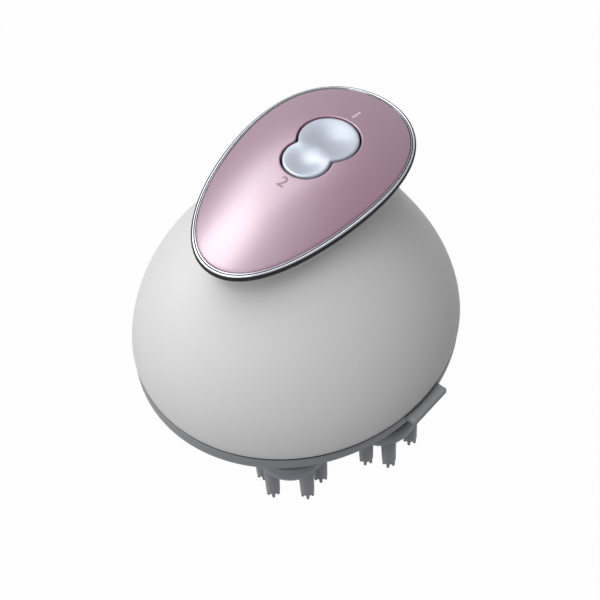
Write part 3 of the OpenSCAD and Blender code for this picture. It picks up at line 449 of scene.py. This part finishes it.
def rounding(size, degrees=(0, 22, 45, 68, 90)):
    """Steps (inset from the side, drop from the top) along a quarter round of radius size."""
    return [(size * (1 - math.cos(t)), size * (1 - math.sin(t))) for t in np.radians(degrees)]


def in_mm(*pairs):
    """Profile points written in millimetres, as metres."""
    return [(a * MM, b * MM) for a, b in pairs]


def make_solid(name, parts, material, crease):
    """One object out of closed meshes. Edges sharper than crease degrees stay sharp."""
    verts, faces, start = [], [], 0
    for v, f in parts:
        verts.append(v)
        faces += [[start + k for k in face] for face in f]
        start += len(v)
    mesh = bpy.data.meshes.new(name)
    mesh.from_pydata(np.vstack(verts).tolist(), [], faces)
    mesh.polygons.foreach_set("use_smooth", np.ones(len(mesh.polygons), bool))
    mesh.set_sharp_from_angle(angle=math.radians(crease))
    mesh.materials.append(material)
    mesh.update()
    return new_object(name, mesh)


def make_piece(name, parts, material, body, replaced, crease=40):
    """A solid that rides on a body, wears a slot's material and stands for one node."""
    piece = make_solid(name, parts, material, crease)
    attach(piece, body)
    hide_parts(replaced)
    return piece


def final_mesh(thing):
    """The mesh that an object shows, with its modifiers or its outline worked out."""
    seen = thing.evaluated_get(bpy.context.evaluated_depsgraph_get())
    return bpy.data.meshes.new_from_object(seen)


def cut(piece, cutter):
    """Takes the cutter's solid out of the piece and throws the cutter away."""
    change = piece.modifiers.new("cut", "BOOLEAN")
    change.object, change.operation, change.solver = cutter, "DIFFERENCE", "EXACT"
    mesh = final_mesh(piece)
    piece.modifiers.clear()
    piece.data = mesh
    bpy.data.objects.remove(cutter)


# ---------------------------------------------------------------- outlines and surfaces


def oval(a, half_w, half_l, z):
    """Points at one height on an oval about the housing's axis."""
    return np.stack([half_w * np.cos(a) + CENTRE_X, half_l * np.sin(a), z + 0 * a], -1)


def teardrop(a, inset=0.0):
    """The rim's outline about the panel's centre: an ellipse whose width grows towards the back
    by EGG and is drawn in at the sides by PINCH, moved inwards along its radius by inset."""
    x = PANEL_W / 2 * np.cos(a) * (1 + EGG * np.sin(a) - PINCH * np.cos(2 * a)) / (1 - PINCH)
    y = PANEL_L / 2 * np.sin(a)
    r = np.hypot(x, y)
    return x * (1 - inset / r), y * (1 - inset / r)


def rim_arc(y):
    """Height of the rim's plane above the seam: a shallow arch along the panel."""
    return RIM_Z - RIM_DROP * (2 * y / PANEL_L) ** 2


# The rim's radius in each direction, for looking up
rim_x, rim_y = teardrop(np.linspace(0, 2 * np.pi, 1441))
RIM_DIRECTIONS = np.unwrap(np.arctan2(rim_y, rim_x))
RIM_RADII = np.hypot(rim_x, rim_y)


def panel_height(x, y):
    """Height of the crowned panel at x, y from its centre: the rim's arch plus a crown that
    falls with a power of the share of the way from the centre to the rim, held at 1.2 past it."""
    r = np.interp(np.mod(np.arctan2(y, x), 2 * np.pi), RIM_DIRECTIONS, RIM_RADII)
    share = np.hypot(x, y) / r
    return SEAM_Z + rim_arc(y) + CROWN_H * (1 - np.minimum(share, 1.2) ** CROWN_P)


def on_panel(a, inset, lower):
    """Points along the rim, inset from it and lowered below the crowned surface."""
    x, y = teardrop(a, inset)
    return np.stack([x + CENTRE_X, y + PANEL_Y, panel_height(x, y) - lower], -1)


def on_rim(a, inset, lower):
    """Points along the rim, inset from it and lowered below the rim's arch."""
    x, y = teardrop(a, inset)
    return np.stack([x + CENTRE_X, y + PANEL_Y, SEAM_Z + rim_arc(y) - lower], -1)


def dome_point(a, share, inset):
    """The dome's surface at angle a and a share of the lip's height, moved inwards by inset.

    The dome's oval shrinks with height as (1 - (h/H)^P)^(1/Q). The neck is the teardrop with an
    inset that goes from NECK_IN to LIP_IN at the lip. A soft maximum of the two radii, of power
    BLEND_N, joins them."""
    _, lip_y = teardrop(a, inset + LIP_IN)
    h = share * (rim_arc(lip_y) - TRIM_H - SEAL_T)
    k = np.maximum(0, 1 - (h / (DOME_H - inset)) ** DOME_P) ** (1 / DOME_Q)
    edge = EDGE_IN * np.maximum(0, 1 - h / EDGE_H) ** 2 if inset == 0 else 0
    ox = (DOME_W / 2 - inset - edge) * k * np.cos(a)
    oy = (DOME_L / 2 - inset - edge) * k * np.sin(a) - PANEL_Y
    nx, ny = teardrop(a, inset + LIP_IN + (NECK_IN - LIP_IN) * (1 - share ** FLARE_N))
    ro, rn = np.hypot(ox, oy), np.hypot(nx, ny)
    w = rn ** BLEND_N / (ro ** BLEND_N + rn ** BLEND_N)
    mx, my = ox * (1 - w) + nx * w, oy * (1 - w) + ny * w
    s = (ro ** BLEND_N + rn ** BLEND_N) ** (1 / BLEND_N) / np.hypot(mx, my)
    return np.stack([mx * s + CENTRE_X, my * s + PANEL_Y, SEAM_Z + h], -1)


def two_lobes(direction, grow):
    """Radius, about the waist, of the outline that the rocker and its opening share: the far side
    of each lobe's circle, joined by a soft maximum of power NOTCH_N that rounds the notches."""
    out = 0.0
    for y, r in ((LOBE_Y, LOBE_R + grow), (SMALL_LOBE_Y, SMALL_LOBE_R + grow)):
        dy = y - WAIST_Y
        along = dy * np.sin(direction)
        out = out + np.maximum(along + np.sqrt(along ** 2 - dy ** 2 + r ** 2), 0) ** NOTCH_N
    return out ** (1 / NOTCH_N)


def rocker_face(x, y):
    """The rocker's top: it bends with the panel, and each lobe is dished by a share of its depth
    that falls from the middle to the dish's edge as (1 - q)^2, q the square of the way there."""
    z = ROCKER_TOP - (y - PANEL_Y) ** 2 / (2 * BEND_L) - x ** 2 / (2 * BEND_W)
    for dish_y, reach, depth in DISHES:
        q = np.minimum((x ** 2 + (y - dish_y) ** 2) / reach ** 2, 1)
        z = z - depth * (1 - q) ** 2
    return z


# ---------------------------------------------------------------- dome, panel and trim


def make_dome(around=288, up=110, inside=30):
    """Outer surface from the seam to the lip, over it, then the inner surface down. The rings
    lie a little closer together towards the lip."""
    a = round_about(around)
    outer = [dome_point(a, v, 0) for v in np.linspace(0, 1, up) ** 0.9]
    inner = [dome_point(a, v, DOME_WALL) for v in np.linspace(1, 0, inside)]
    return tube(outer + inner, closed_path=True)


def make_inlet_cutter():
    """A cylinder along +Y through the dome's back wall at the charging inlet: an upright one whose
    height is turned into Y and whose Y is turned into depth below the inlet's axis."""
    v, f = lathe([(INLET_R, 0), (INLET_R, INLET_CUT)], (CENTRE_X, 0, 0), points=64)
    start = inlet_high.y - INLET_DEPTH
    solid = outward(np.stack([v[:, 0], v[:, 2] + start, INLET_Z - v[:, 1]], -1), f)
    return make_solid("hole", [solid], pearl_white, crease=40)


dome = make_piece("dome_shell", [make_dome()], pearl_white, "housing", "dome", crease=50)
cut(dome, make_inlet_cutter())


def make_trim(around=360):
    """Two bright bands on the black carrier: a rounded outer one and a fine inner bead. Each is a
    closed profile of (inset from the rim, depth below the panel's surface)."""
    a = round_about(around)
    band = in_mm((0.4, 0.4), (0.41, 0.14), (0.48, 0.0), (0.6, -0.09), (0.76, -0.12), (0.92, -0.09),
                 (1.04, 0.0), (1.11, 0.14), (1.12, 0.4))
    bead = in_mm((1.38, 0.4), (1.39, 0.1), (1.46, 0.0), (1.57, -0.04), (1.68, 0.0), (1.75, 0.1),
                 (1.76, 0.4))
    return [tube([on_panel(a, i, d) for i, d in path], closed_path=True) for path in (band, bead)]


make_piece("panel_trim", make_trim(), bright_plating, "housing", "trim_ring")


def make_carrier_and_shade_seal(around=360):
    """Black carrier of the trim: its outer side, the groove between the bands and, below, the seal with a rounded
    outer face that lies on the neck's lip. The black of that seal and of the outer side is partly painted shade,
    for the shadow under the trim's overhang. The side is a profile of (inset, depth below the rim's arch), the top
    and the root are below the crowned surface."""
    a = round_about(around)
    low = TRIM_H + SEAL_T - SEAL_GAP
    side = [(0.8 * MM, low), (0.5 * MM, low - 0.2 * MM), (0.5 * MM, TRIM_H + 0.2 * MM),
            (0.55 * MM, TRIM_H), *in_mm((0.25, 1.26), (0.06, 1.0), (0.0, 0.7), (0.0, 0.4))]
    top = in_mm((0.04, 0.2), (0.14, 0.07), (0.28, 0.04), (0.44, 0.24), (1.0, 0.24), (1.8, 0.24),
                (1.86, 1.2))
    rings = [on_rim(a, i, d) for i, d in side] + [on_panel(a, i, d) for i, d in top]
    rings += [on_panel(a, 3.4 * MM, PANEL_T + 0.1 * MM), on_rim(a, 3.5 * MM, low)]
    return tube(rings, closed_path=True)


# the black seal below the trim is a real seal and also painted shade for the shadow under the trim's overhang
make_piece("trim_carrier", [make_carrier_and_shade_seal()], black_rubber, "housing", "panel_seal")


def make_panel(around=400, across=40):
    """Crowned panel with the rocker's opening: straight lines from the opening to the rim, on the
    crowned surface, with both edges rounded over and a flat underside PANEL_T below."""
    a = round_about(around)
    rx, ry = teardrop(a, TRIM_W + PANEL_GAP)
    direction = np.arctan2(ry + PANEL_Y - WAIST_Y, rx)
    hole_r = two_lobes(direction, ROCKER_GAP)
    hx, hy = hole_r * np.cos(direction), hole_r * np.sin(direction) + WAIST_Y - PANEL_Y
    reach = np.hypot(rx - hx, ry - hy)

    def ring_at(distance, lower):
        share = distance / reach
        x, y = hx + (rx - hx) * share, hy + (ry - hy) * share
        return np.stack([x + CENTRE_X, y + PANEL_Y, panel_height(x, y) - lower], -1)

    corner = rounding(PANEL_ROUND, (0, 23, 45, 68, 90))
    flat = reach - 2 * PANEL_ROUND
    rings = [ring_at(0, PANEL_T)] + [ring_at(d, z) for d, z in corner]
    rings += [ring_at(PANEL_ROUND + flat * s, 0) for s in np.linspace(0, 1, across)[1:-1]]
    rings += [ring_at(reach - d, z) for d, z in corner[::-1]]
    rings += [ring_at(reach * s, PANEL_T) for s in (1, 0.75, 0.5, 0.25)]
    return tube(rings, closed_path=True)


make_piece("control_panel", [make_panel()], rose_lacquer, "housing", "top_panel")


def make_cap(around=240, across=44):
    """The rocker's two-lobed cap about its waist, with a rounded edge, straight skirt and flat
    underside. The first ring is small enough to close the middle by one flat face."""
    a = round_about(around)
    r = two_lobes(a, 0)

    def ring_at(radius, lower):
        x, y = radius * np.cos(a), radius * np.sin(a) + WAIST_Y
        return np.stack([x + CENTRE_X, y, rocker_face(x, y) - lower], -1)

    rings = [ring_at((r - ROCKER_ROUND) * s, 0) for s in np.linspace(0.004, 1, across)]
    rings += [ring_at(r - d, z) for d, z in rounding(ROCKER_ROUND, (72, 54, 36, 18, 0))]
    skirt = ring_at(r, 0)
    skirt[:, 2] = ROCKER_TOP - SKIRT_H
    return tube(rings + [skirt])


def make_rocker():
    """Cap, the ear that the pin goes through, and a pusher over each switch."""
    pusher_z = switch_high.z + PUSHER_GAP
    pusher = [(PUSHER_R, 0), (PUSHER_R, CAP_UNDER - pusher_z)]
    ear = slab((CENTRE_X - EAR_X, WAIST_Y - EAR_Y, PIVOT_Z - EAR_DROP),
               (CENTRE_X + EAR_X, WAIST_Y + EAR_Y, CAP_UNDER))
    pushers = [lathe(pusher, (CENTRE_X, y, pusher_z), points=32) for y in PUSHER_PLACES]
    return [make_cap(), ear] + pushers


make_piece("rocker_button", make_rocker(), silver_lacquer, "rocker", "rocker")

# ---------------------------------------------------------------- base, tab and seam


def make_base(around=360):
    """Base ring: an oval band with rounded edges whose underside runs in to the round gear tub,
    then the tub's floor and, inside, the collar that the dome snaps over."""
    a = round_about(around)

    def band(inset, z):
        return oval(a, DOME_W / 2 - RING_IN - inset, DOME_L / 2 - inset, z)

    def collar(inset, z):
        return oval(a, DOME_W / 2 - inset, DOME_L / 2 - inset, z)

    top, low = SEAM_Z - SEAM_T - BAND_DROP, SEAM_Z - RING_H
    outer_r, knee = TUB_R + TUB_WALL, FLOOR_Z + KNEE_H
    tub = [(outer_r + 0.6 * MM, low), (outer_r + 0.15 * MM, low - 0.2 * MM), (outer_r, low - 0.7 * MM),
           (outer_r, knee + 0.6 * MM), (outer_r - 0.3 * MM, knee),
           (FLOOR_R + 0.4 * MM, FLOOR_Z + 0.3 * MM), (FLOOR_R, FLOOR_Z), (OPENING_R, FLOOR_Z),
           (OPENING_R, FLOOR_Z + FLOOR_T), (TUB_R, FLOOR_Z + FLOOR_T), (TUB_R, low + FLOOR_T)]
    rings = [collar(COLLAR_IN + COLLAR_T, SEAM_Z + COLLAR_H), collar(COLLAR_IN, SEAM_Z + COLLAR_H),
             collar(COLLAR_IN, top)]
    rings += [band(i, top - d) for i, d in rounding(BAND_ROUND)[::-1]]
    rings += [band(LOWER_ROUND * i, low + LOWER_ROUND * d) for i, d in rounding(BAND_ROUND)]
    rings += [oval(a, r, r, z) for r, z in tub]
    return tube(rings, closed_path=True)


def make_tab(steps=6):
    """Grip tab: a bar along Y with rounded long edges and rounded ends."""
    x0 = CENTRE_X + DOME_W / 2 - RING_IN - TAB_ROOT
    x1 = CENTRE_X + DOME_W / 2 + TAB_OUT
    z1 = SEAM_Z - TAB_DROP
    z0 = z1 - TAB_T
    corners = [(x1 - TAB_ROUND, z1 - TAB_ROUND, 0), (x0 + TAB_ROUND, z1 - TAB_ROUND, 90),
               (x0 + TAB_ROUND, z0 + TAB_ROUND, 180), (x1 - TAB_ROUND, z0 + TAB_ROUND, 270)]

    def section(y, shrink):
        r = max(TAB_ROUND - shrink, 0.05 * MM)
        xz = np.vstack([fillet(cx, cz, r, t, t + 90, steps) for cx, cz, t in corners])
        return np.stack([xz[:, 0], y + 0 * xz[:, 0], xz[:, 1]], -1)

    ends = rounding(TAB_ROUND)
    rings = [section(TAB_Y - TAB_L / 2 + along, shrink) for along, shrink in ends]
    rings += [section(TAB_Y + TAB_L / 2 - along, shrink) for along, shrink in ends[::-1]]
    return tube(rings)


make_piece("base_band", [make_base(), make_tab()], slate_plastic, "housing", "base_ring")


def make_seam_seal_and_shade(around=360):
    """Black seal in the seam, whose lip is brought out to show as a dark line below the dome's edge: a real seal
    whose black also serves as painted shade for the shadow under the dome's overhanging edge. It is a closed
    profile of (inset from the dome's oval, height above the seam)."""
    a = round_about(around)
    path = in_mm((3.0, 0.0), (0.26, 0.0), (0.22, -0.1), (0.2, -0.4), (0.22, -0.82), (0.3, -0.9),
                 (1.4, -0.9), (3.0, -0.4))
    rings = [oval(a, DOME_W / 2 - i, DOME_L / 2 - i, SEAM_Z + h) for i, h in path]
    return tube(rings, closed_path=True)


# the seal's black lip is a real seal and also painted shade for the shadow under the dome's edge
make_piece("seam_line", [make_seam_seal_and_shade()], black_rubber, "housing", "seam_seal")

# ---------------------------------------------------------------- numerals


def make_numeral(name, digit, x, y, material):
    """A digit printed on the panel: its outline becomes a thin mesh that is laid on the crowned
    surface, upright towards the panel's wide end. x and y are its middle, from the dome's."""
    curve = bpy.data.curves.new(name, "FONT")
    curve.body, curve.size = digit, NUMERAL_SIZE
    curve.extrude, curve.offset = NUMERAL_T, NUMERAL_BOLD
    curve.align_x, curve.align_y = "CENTER", "CENTER"
    flat = new_object(name + "_outline", curve)
    mesh = final_mesh(flat)
    bpy.data.objects.remove(flat)
    points = np.empty(len(mesh.vertices) * 3)
    mesh.vertices.foreach_get("co", points)
    points = points.reshape(-1, 3)
    px, py = points[:, 0] + x, points[:, 1] + y
    height = panel_height(px, py - PANEL_Y) + points[:, 2] - NUMERAL_SUNK
    mesh.vertices.foreach_set("co", np.stack([px + CENTRE_X, py, height], -1).ravel())
    mesh.materials.clear()
    mesh.materials.append(material)
    mesh.update()
    piece = new_object(name, mesh)
    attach(piece, "housing")


make_numeral("mode_numeral_1", "1", -0.6 * MM, 36.2 * MM, pale_ink)
make_numeral("mode_numeral_2", "2", 0.2 * MM, -1.9 * MM, plum_ink)

# ---------------------------------------------------------------- brush heads


def make_disc(x, y):
    """A brush head's disc: it widens upwards from a rounded lower edge to a rounded shoulder."""
    z0, z1 = PRONG_L, PRONG_L + HEAD_H
    profile = [(AXIS_R, z0)]
    profile += list(fillet(FOOT_R - FOOT_ROUND, z0 + FOOT_ROUND, FOOT_ROUND, -90, -20))
    profile += [(FOOT_R + 0.55 * MM, z0 + 1.6 * MM), (HEAD_R - 0.22 * MM, z0 + FOOT_H - 0.4 * MM),
                (HEAD_R, z0 + FOOT_H + 0.4 * MM)]
    profile += list(fillet(HEAD_R - HEAD_ROUND, z1 - HEAD_ROUND, HEAD_ROUND, 0, 90, steps=7))
    profile += [(2.6 * MM, z1), (AXIS_R, z1 - 0.05 * MM)]
    return lathe(profile, (x, y, 0), points=96)


def make_prong(x, y, top):
    """A prong: slight taper, rounded shoulder at its tip, and a root that ends inside the disc."""
    tip_r = PRONG_R - PRONG_TAPER
    profile = [(AXIS_R, NUB_H)]
    profile += list(fillet(tip_r - PRONG_ROUND, NUB_H + PRONG_ROUND, PRONG_ROUND, -90, -8))
    profile += [(PRONG_R - 0.1 * MM, PRONG_L - 1 * MM), (PRONG_R, top - 0.6 * MM),
                (PRONG_R - 0.25 * MM, top - 0.12 * MM), (PRONG_R - 0.8 * MM, top), (AXIS_R, top)]
    return lathe(profile, (x, y, 0), points=32)


def make_nub(x, y):
    """A small rounded finger at a prong's tip, flat where it stands."""
    profile = [(AXIS_R, 0), (0.3 * MM, 0), (0.46 * MM, 0.1 * MM), (0.55 * MM, 0.34 * MM),
               (0.6 * MM, NUB_H), (0.66 * MM, NUB_H + 0.3 * MM), (AXIS_R, NUB_H + 0.4 * MM)]
    return lathe(profile, (x, y, 0), points=16)


def make_brush(number):
    """Disc, a middle prong and three pairs of outer ones about the head's spindle. The pairs are
    turned with the head's bearing from the housing's axis, and each prong ends in its nubs."""
    name = f"brush_{number}"
    cx, cy, _ = joint_of[name]["pos_m"]
    bearing = math.degrees(math.atan2(cy, cx - CENTRE_X))
    outer = np.radians([bearing + pair + side * PRONG_SPREAD for pair in PRONG_PAIRS for side in (-1, 1)])
    places = [(cx, cy, PRONG_L + MIDDLE_ROOT)]
    places += [(cx + PRONG_CIRCLE * math.cos(t), cy + PRONG_CIRCLE * math.sin(t), PRONG_L + OUTER_ROOT)
               for t in outer]
    nubs = np.radians(bearing + NUB_TURN + np.arange(0, 360, 360 // NUBS))
    parts = [make_disc(cx, cy)]
    for x, y, top in places:
        parts.append(make_prong(x, y, top))
        parts += [make_nub(x + NUB_CIRCLE * math.cos(t), y + NUB_CIRCLE * math.sin(t)) for t in nubs]
    make_piece(f"brush_head_{number}", parts, slate_rubber, name, name)


for number in range(1, 7):
    make_brush(number)

# ---------------------------------------------------------------- floor, world and lamps


def seen_plainly(tree):
    """1 for rays that come straight from the camera, off a gloss or through glass, else 0."""
    path = tree.nodes.new("ShaderNodeLightPath")
    bent = math_node(tree, "MAXIMUM", path.outputs["Is Glossy Ray"], path.outputs["Is Transmission Ray"])
    return math_node(tree, "MAXIMUM", path.outputs["Is Camera Ray"], bent)


def make_floor():
    """A wide pale floor at z = 0 that keeps a soft shadow and reads white to the camera."""
    mesh = bpy.data.meshes.new("floor")
    corners = [(x * FLOOR_REACH, y * FLOOR_REACH, 0) for x, y in ((-1, -1), (1, -1), (1, 1), (-1, 1))]
    mesh.from_pydata(corners, [], [(0, 1, 2, 3)])
    floor = new_object("floor", mesh)
    material = bpy.data.materials.new("floor")
    material.use_nodes = True
    tree = material.node_tree
    tree.nodes.remove(tree.nodes["Principled BSDF"])
    plain = add_node(tree, "ShaderNodeBsdfDiffuse", Color=FLOOR_COLOUR).outputs[0]
    white = add_node(tree, "ShaderNodeEmission", Color=(1, 1, 1, 1), Strength=1.0).outputs[0]
    pale = add_node(tree, "ShaderNodeMixShader", i0=FLOOR_WHITENESS, i1=plain, i2=white).outputs[0]
    mixed = add_node(tree, "ShaderNodeMixShader", i0=seen_plainly(tree), i1=plain, i2=pale).outputs[0]
    tree.links.new(mixed, tree.nodes["Material Output"].inputs["Surface"])
    mesh.materials.append(material)


def make_world():
    """Soft light all round, stronger from above and from -X. The camera, gloss and glass see white."""
    world = bpy.data.worlds.new("studio")
    bpy.context.scene.world = world
    world.use_nodes = True
    tree = world.node_tree
    direction = tree.nodes.new("ShaderNodeTexCoord").outputs["Generated"]
    slope = add_node(tree, "ShaderNodeVectorMath", {"operation": "DOT_PRODUCT"},
                     i0=direction, i1=SKY_SLOPE)
    soft = math_node(tree, "ADD", slope.outputs["Value"], SKY_LEVEL)
    strength = add_node(tree, "ShaderNodeMix", {"data_type": "FLOAT"},
                        i0=seen_plainly(tree), i2=soft, i3=1.0)
    background = tree.nodes["Background"]
    background.inputs["Color"].default_value = (1, 1, 1, 1)
    tree.links.new(strength.outputs[0], background.inputs["Strength"])


def make_lamp(name, direction, distance, size, power, gloss_only=False):
    """A round soft lamp in a direction from the object, facing it."""
    data = bpy.data.lights.new(name, "AREA")
    data.shape, data.size, data.energy = "DISK", size, power
    lamp = new_object(name, data)
    away = Vector(direction).normalized()
    lamp.location = Vector((CENTRE_X, 0, LAMP_AIM_Z)) + away * distance
    lamp.rotation_mode = "QUATERNION"
    lamp.rotation_quaternion = away.to_track_quat("Z", "Y")
    lamp.visible_diffuse = not gloss_only


make_floor()
make_world()
make_lamp("key", (-0.86, -0.40, 0.36), distance=1.1, size=0.7, power=3.2)
make_lamp("softbox", (-0.49, -0.17, 0.86), distance=1.2, size=0.75, power=14.8, gloss_only=True)
make_lamp("back_box", (-0.47, 0.33, 0.82), distance=1.2, size=0.7, power=6, gloss_only=True)
make_lamp("side", (-0.68, 0.20, 0.70), distance=1.2, size=0.42, power=1.4)
make_lamp("front", (0.10, -0.62, 0.78), distance=1.2, size=0.7, power=6.2)
make_lamp("top", (0.02, 0, 1), distance=1.2, size=0.7, power=1.6)
bpy.context.scene.view_settings.view_transform = "Standard"
